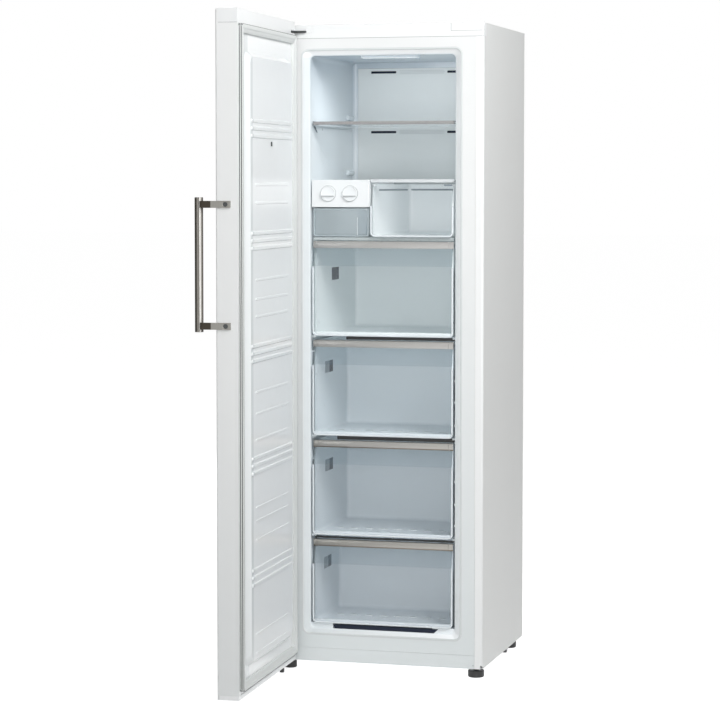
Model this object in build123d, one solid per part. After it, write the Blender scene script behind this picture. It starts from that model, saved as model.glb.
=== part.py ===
from build123d import *
import os

# Upright no-frost freezer with its door open.
# Millimetres, +Z up. The origin is on the floor below the middle of the cabinet, which faces -Y.
# Depths are measured backwards from the cabinet's front plane, so depth 0 is Y = FRONT.

# Driving dimensions of the cabinet
CABINET_WIDTH = 595
CABINET_DEPTH = 554
CABINET_TOP = 1855
CABINET_BOTTOM = 30
HALF_WIDTH = CABINET_WIDTH / 2
FRONT = -CABINET_DEPTH / 2
SHEET = 0.8
CORNER_RADIUS = 6
SEAM_X = 274.2
TOP_STRIP_BOTTOM = 1817
PLINTH_TOP = 68
GAP = 0.3

# The opening in the front frame, and the moulded liner inside it
FRAME_THICK = 1.5
OPENING_HALF = 236.3
OPENING_Z = (106.7, 1788)
OPENING_RADIUS = 22
LINER_WALL = 2.5
LINER_HALF = 213.5
LINER_Z = (124, 1768.5)
LINER_RADIUS = 14
LINER_MOUTH_DEPTH = 13.5
LINER_BACK = 465
HUMP_FRONT = 286
HUMP_TOP = 382
CORNER_FILL = 10
RIB_PITCH = 62
LINER_RIB_REACH = 3
DUCT_HALF = 198.5
DUCT_BACK = 488
DUCT_Z = (386, 1752)

# The machine compartment at the lower back
BAY_FRONT = 332
BAY_TOP = 334

# The four large drawers, from the top: bottom, top, crease, depth of the back wall
DRAWERS = (
    (969.5, 1241.0, 1168.0, 450),
    (683.0, 957.0, 885.0, 359),
    (395.4, 668.4, 598.0, 359),
    (139.7, 381.8, 310.0, 273),
)
# The slot in a drawer's side walls: near and far end, and the height of its middle
DRAWER_SLOTS = (
    (198, 271, 1140.5),
    (128, 207, 867.0),
    (128, 207, 582.0),
    (116, 190, 296.0),
)
DRAWER_SLOT_HEIGHT = 36
DRAWER_HALF = 206
DRAWER_LIP_HALF = 207.5
DRAWER_FRONT = 10
DRAWER_STRIP_DEPTH = 22
DRAWER_STRIP_HEIGHT = 20.5
DRAWER_WALL = 2.5
DRAWER_CORNER = 12

# Shelves: the height of the top face of each trim, and how far the glass lies below it
SHELF_TOPS = {"upper": 1582.0, "middle": 1417.0, "lower": 1252.0}
GLASS_DROPS = {"upper": 3, "middle": 1.5, "lower": 3}
TRIM_HEIGHT = 9
GLASS = 4
GLASS_HALF = 205.5
GLASS_BACK = 452

# The ice maker and what stands beside and below it
ICE_X = (-211, -39)
ICE_Z = (1338, 1411)
ICE_LIP_TOP = 1415.5
ICE_FRONT = 15
ICE_BACK = 290
ICE_AXIS_X = {"left": -161, "right": -96}
ICE_AXIS_Z = 1376.5
KNOB_RADIUS = 22.2
TRAY_DEPTHS = (30, 270)

# The door, measured as it stands when shut
DOOR_OUTER = -72
DOOR_INNER = -12
DOOR_Z = (34, 1864)
DOOR_CAP_Z = (46, 1825)
DOOR_WRAP = -64
DOOR_TOP_RADIUS = 7.5
DOOR_OPEN_DEG = 87.5
PIVOT = (-275.5, -37)
PIN_RADIUS = 4
RUNNING_FIT = 0.05
PLUG_TOP = 1
RIDGE_GROUPS = (1552, 1252, 950.5, 649, 347.5)
SHALLOW_RIBS = (1402, 1353, 1147, 1095, 1048, 845, 787, 716, 533, 497, 446, 190, 138)

# The handle
BAR_RADIUS = 11.25
BAR_AT = (288, -121)
BAR_Z = (1013, 1369)
BRACKET_Z = (1029.5, 1350.5)
BRACKET_HEIGHT = 18.5

# Feet and rollers: X, depth and radius
FRONT_FEET = {"left": (-284, 42, 19), "right": (268.7, 47, 23.4)}
REAR_FEET = ((-262, 515), (262, 515))
REAR_FOOT_RADIUS = 23.4
STEM_RADIUS = 5
ROLLER_AT = (268, 420, 17)
ROLLER_RADIUS = 16.5
ROLLER_WIDTH = 18

os.makedirs("parts", exist_ok=True)


def divided(shape, regions):
    """The shape as touching solids, one or more in each region, so that each wall is a simple solid."""
    return Compound([solid for region in regions for solid in (shape & region).solids()])


def save(name, shape):
    """Write one sub-part."""
    export_step(shape, f"parts/{name}.step")


def block(x_span, depth_span, z_span):
    """A box between two X values, two depths and two heights."""
    spans = (x_span, depth_span, z_span)
    middle = [(low + high) / 2 for low, high in spans]
    size = [high - low for low, high in spans]
    return Pos(middle[0], FRONT + middle[1], middle[2]) * Box(*size)


def rectangle(a_span, b_span, radius=0):
    """A rectangle sketch between two pairs of values, with rounded corners."""
    width = a_span[1] - a_span[0]
    height = b_span[1] - b_span[0]
    at = Pos((a_span[0] + a_span[1]) / 2, (b_span[0] + b_span[1]) / 2)
    return at * (RectangleRounded(width, height, radius) if radius else Rectangle(width, height))


def along_y(profile, depth_span):
    """A prism of a profile drawn in X and Z, between two depths."""
    length = depth_span[1] - depth_span[0]
    return Pos(0, FRONT + depth_span[1], 0) * extrude(Plane.XZ * profile, amount=length)


def along_x(profile, x_span):
    """A prism of a profile drawn in depth and Z, between two X values."""
    return Pos(x_span[0], FRONT, 0) * extrude(Plane.YZ * profile, amount=x_span[1] - x_span[0])


def along_z(profile, z_span):
    """A prism of a profile drawn in X and depth, between two heights."""
    return Pos(0, FRONT, z_span[0]) * extrude(profile, amount=z_span[1] - z_span[0])


def rod_x(depth, z, x_span, radius):
    return along_x(Pos(depth, z) * Circle(radius), x_span)


def rod_y(x, z, depth_span, radius):
    return along_y(Pos(x, z) * Circle(radius), depth_span)


def rod_z(x, depth, z_span, radius):
    return along_z(Pos(x, depth) * Circle(radius), z_span)


def glass_bottom(name):
    """The height of the underside of a shelf's glass."""
    return SHELF_TOPS[name] - GLASS_DROPS[name] - GLASS


def mirrored(shape):
    """The same piece on the other side of the cabinet."""
    return mirror(shape, about=Plane.YZ)


def tapered(half_width, z_span, radius, depths, shrink):
    """A rounded block whose sides lean in by shrink from the first depth to the second."""
    inner_z = (z_span[0] + shrink, z_span[1] - shrink)
    first = rectangle((-half_width, half_width), z_span, radius)
    second = rectangle((shrink - half_width, half_width - shrink), inner_z, radius)
    planes = [Plane(origin=(0, FRONT + depth, 0), x_dir=(1, 0, 0), z_dir=(0, -1, 0)) for depth in depths]
    return loft([planes[0] * first, planes[1] * second])


# ---------------------------------------------------------------- cabinet case


def case_ring():
    """The plan of the sheet-metal case: one sheet round a rounded rectangle."""
    outline = rectangle((-HALF_WIDTH, HALF_WIDTH), (0, CABINET_DEPTH), CORNER_RADIUS)
    inside = rectangle(
        (SHEET - HALF_WIDTH, HALF_WIDTH - SHEET), (SHEET, CABINET_DEPTH - SHEET), CORNER_RADIUS - SHEET
    )
    return outline - inside


def side_panel():
    """The right side panel, folded over the front and the back edge."""
    plan = case_ring() & rectangle((SEAM_X + GAP / 2, HALF_WIDTH), (0, CABINET_DEPTH))
    panel = along_z(plan, (CABINET_BOTTOM, CABINET_TOP))
    panel -= block((SEAM_X - 1, HALF_WIDTH + 1), (-1, 30), (TOP_STRIP_BOTTOM, CABINET_TOP + 1))
    cut = 12
    for depth, inward in ((0, 1), (CABINET_DEPTH, -1)):
        corner = Polyline(
            (depth - inward, CABINET_BOTTOM - 1),
            (depth + inward * cut, CABINET_BOTTOM - 1),
            (depth - inward, CABINET_BOTTOM + cut),
            close=True,
        )
        panel -= along_x(make_face(corner), (HALF_WIDTH - CORNER_RADIUS, HALF_WIDTH + 1))
    return panel


COVER_X = (203, HALF_WIDTH)
COVER_DEPTH = 75
COVER_BOTTOM = 1833


def top_panel():
    """The top: a hollow front rail with a lid behind it, notched for the two hinge covers."""
    rounded = rectangle((-HALF_WIDTH, HALF_WIDTH), (0, CABINET_DEPTH), CORNER_RADIUS)
    rail_plan = rounded & rectangle((-HALF_WIDTH, HALF_WIDTH), (0, 29.8))
    rail = along_z(rail_plan, (TOP_STRIP_BOTTOM + GAP, CABINET_TOP))
    hollow = COVER_X[0] - 8
    rail -= block((-hollow, hollow), (2.5, 27.3), (TOP_STRIP_BOTTOM, CABINET_TOP - 2.5))
    lid_half = HALF_WIDTH - SHEET - 0.1
    lid_plan = rectangle((-lid_half, lid_half), (10, CABINET_DEPTH - SHEET - 0.1), CORNER_RADIUS - SHEET)
    lid_plan &= rectangle((-lid_half, lid_half), (29.8, CABINET_DEPTH))
    panel = rail + along_z(lid_plan, (CABINET_TOP - 1.2, CABINET_TOP))
    notch_x = (COVER_X[0] - GAP, COVER_X[1] + 1)
    notch = block(notch_x, (-1, COVER_DEPTH + GAP), (COVER_BOTTOM, CABINET_TOP + 1))
    return panel - notch - mirrored(notch)


def hinge_cover():
    """The right cover, a shallow cap open below. It is blank here and hides the hinge on the left."""
    rounded = rectangle((-HALF_WIDTH, HALF_WIDTH), (0, CABINET_DEPTH), CORNER_RADIUS)
    plan = rounded & rectangle(COVER_X, (0, COVER_DEPTH))
    plan -= rectangle((HALF_WIDTH - SHEET - 0.1, HALF_WIDTH + 1), (29.9, COVER_DEPTH + 1))
    cover = along_z(plan, (COVER_BOTTOM + GAP, CABINET_TOP))
    inside_x = (COVER_X[0] + 2, HALF_WIDTH - 8)
    return cover - block(inside_x, (2, COVER_DEPTH - 2), (COVER_BOTTOM, CABINET_TOP - 2))


def hinge_covers():
    """Both covers; the left one has a slot in its front for the hinge plate."""
    slot_x = (PIVOT[0] - HINGE_HALF - 1, HINGE_PLATE_EDGE + 1)
    slot = block(slot_x, (-1, 3), (COVER_BOTTOM - 1, HINGE_PLATE_TOP + 0.4))
    return Compound([hinge_cover(), mirrored(hinge_cover()) - slot])


def front_frame():
    """The steel frame round the opening."""
    outer = rectangle((-SEAM_X + GAP / 2, SEAM_X - GAP / 2), (PLINTH_TOP + GAP, TOP_STRIP_BOTTOM))
    opening = rectangle((-OPENING_HALF, OPENING_HALF), OPENING_Z, OPENING_RADIUS)
    frame = along_y(outer - opening, (0, FRAME_THICK))
    rim = frame.edges().filter_by(lambda e: e.bounding_box().size.Y < 0.01)
    rim = rim.filter_by(lambda e: abs(e.center().Y - FRONT) < 0.01)
    rim = rim.filter_by(lambda e: abs(e.center().X) < OPENING_HALF + 1)
    rim = rim.filter_by(lambda e: OPENING_Z[0] - 1 < e.center().Z < OPENING_Z[1] + 1)
    return fillet(rim, 1.1)


def liner_space(grow, recess):
    """What the liner encloses behind its mouth, grown by a wall thickness."""
    half = LINER_HALF + grow
    radius = LINER_RADIUS + grow
    upper_z = (HUMP_TOP - grow, LINER_Z[1] + grow)
    full_z = (LINER_Z[0] - grow, LINER_Z[1] + grow)
    low = along_y(rectangle((-half, half), full_z, radius), (LINER_MOUTH_DEPTH - grow, HUMP_FRONT + grow))
    deep = along_y(rectangle((-half, half), upper_z, radius), (HUMP_FRONT - 20, LINER_BACK + grow))
    space = low + deep
    if recess:
        duct_z = (DUCT_Z[0] - grow, DUCT_Z[1] + grow)
        space += block((-DUCT_HALF - grow, DUCT_HALF + grow), (LINER_BACK - 2, DUCT_BACK + grow), duct_z)
    return space


def ledge(depths, top, thick, reach):
    """A ledge on the right wall, reaching inwards from it."""
    return block((LINER_HALF - reach, LINER_HALF + 1), depths, (top - thick, top))


def liner_runners():
    """What stands out of the right wall: ledges for drawers and shelves, and shallow ribs."""
    pieces = [ledge((30, back), bottom - GAP, 6, 11.5) for bottom, _, _, back in DRAWERS[:3]]
    pieces.append(ledge((16, 270), DRAWERS[3][0] - GAP, DRAWERS[3][0] - LINER_Z[0] + 1, 66))
    pieces += [ledge((43, 440), glass_bottom(name) - GAP, 4, 11.5) for name in ("upper", "lower")]
    pieces.append(ledge((ICE_BACK + 2, 440), glass_bottom("middle") - GAP, 4, 11.5))
    pieces += [ledge((40, 260), 181 + RIB_PITCH * i, 5, LINER_RIB_REACH) for i in range(16)]
    corner = block(
        (LINER_HALF - CORNER_FILL, LINER_HALF + 1),
        (LINER_BACK - CORNER_FILL, LINER_BACK + 1),
        (HUMP_TOP - 1, LINER_Z[1] + 1),
    )
    round_off = rod_z(
        LINER_HALF - CORNER_FILL, LINER_BACK - CORNER_FILL, (HUMP_TOP - 2, LINER_Z[1] + 2), CORNER_FILL
    )
    pieces.append(corner - round_off)
    return pieces


def liner_regions():
    """The flat-sided regions along which the liner is stored: its walls, its ledges and its mouth."""
    wide = HALF_WIDTH
    side = LINER_HALF - 12
    rib = LINER_HALF - LINER_RIB_REACH - 0.5
    mouth = (0, LINER_MOUTH_DEPTH)
    tub = (LINER_MOUTH_DEPTH, CABINET_DEPTH)
    full = (0, CABINET_TOP)
    hump_underside = HUMP_TOP - LINER_WALL
    middle = (-side, side)
    floor_top = DRAWERS[3][0]
    ceiling_bottom = LINER_Z[1] - LINER_RADIUS - 1
    back_corner = LINER_BACK - CORNER_FILL - 1
    hump = ((HUMP_FRONT, back_corner), (floor_top, HUMP_TOP + LINER_RADIUS + 1))
    regions = [
        block((-wide, 1 - LINER_HALF), mouth, full),
        block((LINER_HALF - 1, wide), mouth, full),
        block((1 - LINER_HALF, LINER_HALF - 1), mouth, (HUMP_TOP, CABINET_TOP)),
        block((1 - LINER_HALF, LINER_HALF - 1), mouth, (0, HUMP_TOP)),
        block((-wide, -rib), tub, full),
        block((rib, wide), tub, full),
        block(middle, tub, (LINER_Z[1], CABINET_TOP)),
        block(middle, (LINER_BACK, CABINET_DEPTH), (0, LINER_Z[1])),
        block(middle, (HUMP_FRONT, LINER_BACK), (hump_underside, HUMP_TOP + 1)),
        block(middle, (HUMP_FRONT, LINER_BACK), (LINER_Z[0], hump_underside)),
        block(middle, (LINER_MOUTH_DEPTH, HUMP_FRONT), (LINER_Z[0], floor_top)),
        block(middle, tub, (0, LINER_Z[0])),
    ]
    for strip in ((-rib, -side), (side, rib)):
        regions += [
            block(strip, tub, (ceiling_bottom, CABINET_TOP)),
            block(strip, tub, (0, floor_top)),
            block(strip, (back_corner, CABINET_DEPTH), (floor_top, ceiling_bottom)),
            block(strip, *hump),
            block(strip, (LINER_MOUTH_DEPTH, back_corner), (floor_top, ceiling_bottom)) - block(strip, *hump),
        ]
    return regions


def inner_liner():
    """The moulded plastic liner: a flange with a sloping mouth, and a tub stepped over the compressor."""
    flange_z = (OPENING_Z[0] + GAP, OPENING_Z[1] - GAP)
    flange_half = OPENING_HALF - GAP
    flange_face = rectangle((-flange_half, flange_half), flange_z, OPENING_RADIUS - GAP)
    flange = along_y(flange_face, (FRAME_THICK, LINER_MOUTH_DEPTH + 1))
    slope = 15.5
    mouth_z = (LINER_Z[0] - slope, LINER_Z[1] + slope)
    mouth_depths = (FRAME_THICK - 0.01, LINER_MOUTH_DEPTH + 0.01)
    mouth = tapered(LINER_HALF + slope, mouth_z, LINER_RADIUS, mouth_depths, slope)
    liner = flange + liner_space(LINER_WALL, recess=True)
    liner = liner - mouth - liner_space(0, recess=True)
    shell = liner_space(LINER_WALL, recess=False)
    beside_ice_maker = ledge((43, ICE_BACK + 2), glass_bottom("middle") - GAP, 4, 11.5)
    for piece in liner_runners():
        fitted = piece & shell
        liner += fitted
        liner += mirrored(fitted)
    liner += beside_ice_maker
    return divided(liner, liner_regions())


def machine_bay(grow):
    return block((-300, 300), (BAY_FRONT - grow, 600), (0, BAY_TOP + grow))


def cabinet_foam():
    """Insulation between the case and the liner, with room for the feet, the bay and the hinge."""
    edge = HALF_WIDTH - 7
    foam = block((-edge, edge), (FRAME_THICK + 0.5, CABINET_DEPTH - 1.5), (34, 1816))
    foam -= liner_space(LINER_WALL + 0.3, recess=True)
    mouth_z = (OPENING_Z[0] - 1, OPENING_Z[1] + 1)
    foam -= block((-OPENING_HALF - 1, OPENING_HALF + 1), (0, LINER_MOUTH_DEPTH + 1.5), mouth_z)
    foam -= machine_bay(0.4)
    for x, depth, _ in FRONT_FEET.values():
        foam -= rod_z(x, depth, (30, 85), 9)
    return foam


def base_plate():
    """The steel bottom of the case, with a threaded collar for each front foot."""
    edge = HALF_WIDTH - 1.2
    plate = block((-edge, edge), (7, BAY_FRONT - 1), (31.5, 33.5))
    for x, depth, _ in FRONT_FEET.values():
        plate += rod_z(x, depth, (33, 45), 8)
    for x, depth, _ in FRONT_FEET.values():
        plate -= rod_z(x, depth, (30, 90), STEM_RADIUS + RUNNING_FIT)
    return plate


def plinth():
    """The strip below the front frame, folded back at its lower edge."""
    half = SEAM_X - GAP / 2
    strip = block((-half, half), (0, FRAME_THICK), (CABINET_BOTTOM, PLINTH_TOP))
    strip += block((-half, half), (0, 6.5), (CABINET_BOTTOM, CABINET_BOTTOM + 1.2))
    for x in (-half + 4, half - 4):
        strip -= rod_y(x, 40, (-1, FRAME_THICK + 1), 2)
    return strip


def back_panel():
    half = SEAM_X - GAP / 2
    return block((-half, half), (CABINET_DEPTH - SHEET, CABINET_DEPTH), (BAY_TOP + 1, CABINET_TOP - 1.5))


# ---------------------------------------------------------------- cold-air parts

SLOT_ROWS = (1740, 1560, 1400)
SLOT_X = (79, 158)
SLOT_HEIGHT = 7


def air_slots(z, depths):
    """A pair of air slots at one height, as cutters."""
    slot = along_y(rectangle(SLOT_X, (z - SLOT_HEIGHT / 2, z + SLOT_HEIGHT / 2), 2), depths)
    return slot + mirrored(slot)


def air_duct_panel():
    """The flat cover of the air duct behind the shelves."""
    half = DUCT_HALF - 0.5
    panel = block((-half, half), (LINER_BACK, LINER_BACK + 2.5), (960, DUCT_Z[1] - 0.5))
    for z in SLOT_ROWS:
        panel -= air_slots(z, (LINER_BACK - 1, LINER_BACK + 4))
    return panel


def evaporator_hood():
    """The deep cover over the evaporator and the fan, open at the back."""
    half = DUCT_HALF - 0.5
    hood = block((-half, half), (368, LINER_BACK + 2.5), (DUCT_Z[0] + 0.5, 957))
    hood -= block((-half + 2.5, half - 2.5), (370.5, LINER_BACK + 3), (DUCT_Z[0] + 3, 954.5))
    hood -= block((-120, 120), (400, 460), (950, 960))
    for z in (930, 640):
        hood -= air_slots(z, (366, 372))
    return hood - block((-150, 150), (366, 372), (392, 404))


def evaporator():
    """Fins on straight tubes."""
    fins = [block((x - 0.6, x + 0.6), (388, 452), (430, 690)) for x in range(-160, 161, 20)]
    coil = Part() + fins + [block((x - 1, x + 1), (388, DUCT_BACK), (430, 690)) for x in (-165, 165)]
    for depth in (404, 436):
        for z in range(450, 671, 44):
            coil += rod_x(depth, z, (-170, 170), 4)
    return coil


FAN_AT = (0, 840)


def fan_motor():
    """The fan motor with its shaft and a cross bar that holds it."""
    x, z = FAN_AT
    motor = rod_y(x, z, (440, 470), 24) + block((-90, 90), (468, 474), (z - 8, z + 8))
    for side in (-1, 1):
        motor += block(sorted((side * 84, side * 90)), (470, DUCT_BACK), (z - 8, z + 8))
    return motor + rod_y(x, z, (404, 441), 2.5)


def fan_blade():
    """A hub with five pitched blades."""
    x, z = FAN_AT
    hub = rod_y(x, z, (408, 432), 15)
    for i in range(5):
        blade = Pos(33, 0, 0) * Rot(35, 0, 0) * Box(44, 2, 26)
        hub += Pos(x, FRONT + 420, z) * Rot(0, 72 * i, 0) * blade
    return hub - rod_y(x, z, (400, 440), 2.5 + RUNNING_FIT)


def lamp_cover():
    """The long cover of the light strip in the liner's ceiling."""
    cover = block((-76, 90), (60, 88), (1763, LINER_Z[1]))
    return fillet(cover.edges().filter_by(Axis.X).sort_by(Axis.Z)[:2], 2.5)


# ---------------------------------------------------------------- shelves


def glass_shelf(name):
    """A toughened glass plate."""
    bottom = glass_bottom(name)
    return block((-GLASS_HALF, GLASS_HALF), (30, GLASS_BACK), (bottom, bottom + GLASS))


def shelf_trim(name, x_span):
    """The edging on a shelf's front, grooved for the glass."""
    top = SHELF_TOPS[name]
    bottom = glass_bottom(name)
    edge = block(x_span, (23, 42), (top - TRIM_HEIGHT, top))
    edge = fillet(edge.edges().filter_by(Axis.X), 1.2)
    return edge - block((-HALF_WIDTH, HALF_WIDTH), (29.9, 43), (bottom - 0.05, bottom + GLASS + 0.05))


def shelf_retainers():
    """Four rounded clips on the side walls that keep two shelves from sliding out."""
    clips = []
    for z in (1601.5, 1436):
        clip = block((LINER_HALF - 9, LINER_HALF), (388, 454), (z - 8, z + 8))
        inner = clip.edges().filter_by(lambda e: e.center().X < LINER_HALF - 1)
        clip = fillet(inner, 7)
        clips += [clip, mirrored(clip)]
    return Compound(clips)


# ---------------------------------------------------------------- ice maker


def ice_maker_housing():
    """A white box, open below, that carries two twisting ice trays."""
    housing = block(ICE_X, (ICE_FRONT, ICE_BACK), ICE_Z)
    housing += block(ICE_X, (ICE_FRONT, ICE_FRONT + 4), (ICE_Z[0], ICE_LIP_TOP))
    housing = fillet(housing.edges().filter_by(Axis.Z).sort_by(Axis.Y)[:2], 3)
    inside_x = (ICE_X[0] + 2.5, ICE_X[1] - 2.5)
    housing -= block(inside_x, (ICE_FRONT + 2.5, ICE_BACK - 3), (ICE_Z[0] - 1, ICE_Z[1] - 2))
    for x in ICE_AXIS_X.values():
        housing -= rod_y(x, ICE_AXIS_Z, (ICE_FRONT - 1, ICE_FRONT + 3), PIN_RADIUS + RUNNING_FIT)
        housing -= rod_y(x, ICE_AXIS_Z, (ICE_BACK - 4, ICE_BACK + 1), 3 + RUNNING_FIT)
    return housing


def ice_knob(x):
    """A round twist knob: a dished upper half, a grip bar and a shaft into the tray."""
    knob = rod_y(x, ICE_AXIS_Z, (9.6, ICE_FRONT - GAP), KNOB_RADIUS)
    knob = chamfer(knob.edges().sort_by(Axis.Y)[:1], 1.2)
    dish = rod_y(x, ICE_AXIS_Z, (9, 11.6), KNOB_RADIUS - 2.5)
    knob -= dish & block((x - 30, x + 30), (8, 12), (ICE_AXIS_Z - 4, ICE_AXIS_Z + 30))
    grip = block((x - 20, x + 20), (7.6, 12), (ICE_AXIS_Z - 8, ICE_AXIS_Z - 3))
    return knob + grip + rod_y(x, ICE_AXIS_Z, (12, TRAY_DEPTHS[0]), PIN_RADIUS)


TRAY_HALF = 27
TRAY_Z = (ICE_AXIS_Z - 15, ICE_AXIS_Z + 11)
TRAY_CELLS = 4


def tray_cells(x):
    """The four cells of a tray, open at the top."""
    first, last = TRAY_DEPTHS[0] + 6, TRAY_DEPTHS[1] - 6
    pitch = (last - first) / TRAY_CELLS
    inside_x = (x - TRAY_HALF + 2, x + TRAY_HALF - 2)
    inside_z = (TRAY_Z[0] + 2, TRAY_Z[1] + 5)
    starts = [first + i * pitch for i in range(TRAY_CELLS)]
    return [block(inside_x, (start, start + pitch - 2), inside_z) for start in starts]


def ice_tray(x):
    """A tray with four cells and a journal at the back."""
    tray = block((x - TRAY_HALF, x + TRAY_HALF), TRAY_DEPTHS, TRAY_Z)
    tray = chamfer(tray.edges().filter_by(Axis.Y).sort_by(Axis.Z)[:2], 4)
    for cell in tray_cells(x):
        tray -= cell
    return tray + rod_y(x, ICE_AXIS_Z, (TRAY_DEPTHS[1] - 1, ICE_BACK - 0.5), 3)


# ---------------------------------------------------------------- bins and drawers


def bin_outline(x_span, z_span, radius):
    """The front view of a bin: square above, with rounded lower corners."""
    low = rectangle(x_span, z_span, radius)
    return low + rectangle(x_span, (z_span[0] + radius, z_span[1]))


def front_wall_profile(front, crease, strip_depth, strip_bottom, back, z_span):
    """A bin seen from the side: its front leans back above the crease."""
    points = (
        (front, z_span[0]),
        (front, crease),
        (strip_depth, strip_bottom),
        (strip_depth, z_span[1]),
        (back, z_span[1]),
        (back, z_span[0]),
    )
    return make_face(Polyline(*points, close=True))


def bin_shell(x_span, z_span, depths, crease, strip_depth, strip_bottom, corner):
    """An open-topped bin with a leaning front."""
    front, back = depths
    wall = DRAWER_WALL
    outer = along_x(front_wall_profile(front, crease, strip_depth, strip_bottom, back, z_span), x_span)
    outer &= along_y(bin_outline(x_span, z_span, corner), depths)
    inner_x = (x_span[0] + wall, x_span[1] - wall)
    inner_z = (z_span[0] + wall, z_span[1] + 5)
    side_view = front_wall_profile(
        front + wall, crease, strip_depth + wall, strip_bottom, back - wall, inner_z
    )
    inner = along_x(side_view, inner_x)
    inner &= along_y(bin_outline(inner_x, inner_z, corner - wall), (front, back))
    return outer - inner


def drawer_regions(z_span, back):
    """The flat-sided regions along which a drawer is stored: sides, floor, front, back, rounded edges."""
    wall = DRAWER_WALL
    inside = (wall - DRAWER_HALF, DRAWER_HALF - wall)
    all_depths = (0, CABINET_DEPTH)
    front_ends = DRAWER_STRIP_DEPTH + wall
    floor_top = z_span[0] + wall
    above_floor = (floor_top, z_span[1] + 1)
    return [
        block((-HALF_WIDTH, inside[0]), all_depths, (z_span[0] - 1, z_span[1] + 1)),
        block((inside[1], HALF_WIDTH), all_depths, (z_span[0] - 1, z_span[1] + 1)),
        block(inside, all_depths, (z_span[0] - 1, floor_top)),
        block(inside, (0, front_ends), above_floor),
        block(inside, (back - wall, CABINET_DEPTH), above_floor),
        block(inside, (front_ends, back - wall), above_floor),
    ]


def drawer(bottom, top, crease, back, slot_at):
    """A large drawer: a bin with a beaded front and a slot in each side wall."""
    half = DRAWER_HALF
    strip_bottom = top - DRAWER_STRIP_HEIGHT
    z_span = (bottom, top - 2)
    depths = (DRAWER_FRONT, back)
    shell = bin_shell(
        (-half, half), z_span, depths, crease, DRAWER_STRIP_DEPTH, strip_bottom, DRAWER_CORNER
    )
    lip = bin_outline((-DRAWER_LIP_HALF, DRAWER_LIP_HALF), (bottom, crease), DRAWER_CORNER + 1)
    shell += along_y(lip, (DRAWER_FRONT, DRAWER_FRONT + DRAWER_WALL))
    panel = bin_outline((-half + 5, half - 5), (bottom + 6, crease - 4), DRAWER_CORNER - 4)
    shell -= along_y(panel, (DRAWER_FRONT - 1, DRAWER_FRONT + 1))
    near, far, slot_z = slot_at
    slot_half = DRAWER_SLOT_HEIGHT / 2
    slot = block((half - 5, half + 5), (near, far), (slot_z - slot_half, slot_z + slot_half))
    return divided(shell - slot - mirrored(slot), drawer_regions(z_span, back))


def drawer_strip(top):
    """The metal-look strip on a drawer's upper edge, hooked over the front wall."""
    front = DRAWER_STRIP_DEPTH - 3
    strip = block((-207, 207), (front, DRAWER_STRIP_DEPTH), (top - DRAWER_STRIP_HEIGHT, top))
    strip += block((-207, 207), (front, DRAWER_STRIP_DEPTH + 7), (top - 1.8, top))
    return fillet(strip.edges().filter_by(Axis.X).sort_by(Axis.Y)[:2], 1.2)


SMALL_DRAWER_X = (-35, 206)
SMALL_DRAWER_Z = (1253.5, 1403)


def small_drawer():
    """The clear drawer beside the ice maker."""
    shell = bin_shell(SMALL_DRAWER_X, SMALL_DRAWER_Z, (12, 440), 1342, 24, 1397, 14)
    low_back = block((SMALL_DRAWER_X[0] - 1, SMALL_DRAWER_X[1] + 1), (40, 441), (1389, 1405))
    return shell - low_back


ICE_BIN_X = (-207, -41)
ICE_BIN_Z = (1253.5, 1335)


def ice_bin():
    """The clear bin that catches the cubes, with a finger lip across its front."""
    outline = bin_outline(ICE_BIN_X, ICE_BIN_Z, 8)
    shell = along_y(outline, (20, 285))
    inner_x = (ICE_BIN_X[0] + 2.5, ICE_BIN_X[1] - 2.5)
    shell -= along_y(bin_outline(inner_x, (ICE_BIN_Z[0] + 2.5, ICE_BIN_Z[1] + 9), 5.5), (23, 282.5))
    lip = block((ICE_BIN_X[0] + 30, ICE_BIN_X[1] - 60), (16, 20.5), (1273, 1277))
    return shell + lip


# ---------------------------------------------------------------- machine bay


def foot(x, depth, radius, top):
    """A levelling foot: a ribbed disc on a threaded stem."""
    disc = rod_z(x, depth, (0, 20), radius)
    disc = chamfer(disc.edges().sort_by(Axis.Z)[:1] + disc.edges().sort_by(Axis.Z)[-1:], 2)
    return disc + rod_z(x, depth, (19, 24), 9) + rod_z(x, depth, (23, top), STEM_RADIUS)


def roller(side):
    """A transport roller on its axle stub."""
    x, depth, z = ROLLER_AT
    half = ROLLER_WIDTH / 2
    wheel = rod_x(depth, z, (side * x - half, side * x + half), ROLLER_RADIUS)
    wheel = chamfer(wheel.edges().filter_by(GeomType.CIRCLE), 1)
    return wheel - rod_x(depth, z, (side * x - 20, side * x + 20), 4 + RUNNING_FIT)


def compressor_plate():
    """The steel tray under the compressor, with the roller forks and axles."""
    edge = HALF_WIDTH - 7
    plate = block((-edge, edge), (BAY_FRONT + 1, CABINET_DEPTH - 2), (31.5, 33.5))
    plate += block((-edge, edge), (CABINET_DEPTH - 4, CABINET_DEPTH - 2), (31.5, 52))
    x, depth, z = ROLLER_AT
    half = ROLLER_WIDTH / 2
    for side in (-1, 1):
        window = sorted((side * (x - half - 0.6), side * (x + half + 0.6)))
        plate -= block(window, (depth - ROLLER_RADIUS - 1, depth + ROLLER_RADIUS + 1), (31, 34))
        for near in (-half - 3, half + 0.6):
            span = sorted((side * (x + near), side * (x + near + 2.4)))
            plate += block(span, (depth - 9, depth + 9), (z - 7, 32))
        plate += rod_x(depth, z, sorted((side * (x - half - 3), side * (x + half + 3))), 4)
    for foot_x, foot_depth in REAR_FEET:
        plate -= rod_z(foot_x, foot_depth, (30, 36), STEM_RADIUS)
    return plate


COMPRESSOR_AT = (70, 440)
MOUNT_OFFSETS = ((-85, -55), (85, -55), (-85, 55), (85, 55))


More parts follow.
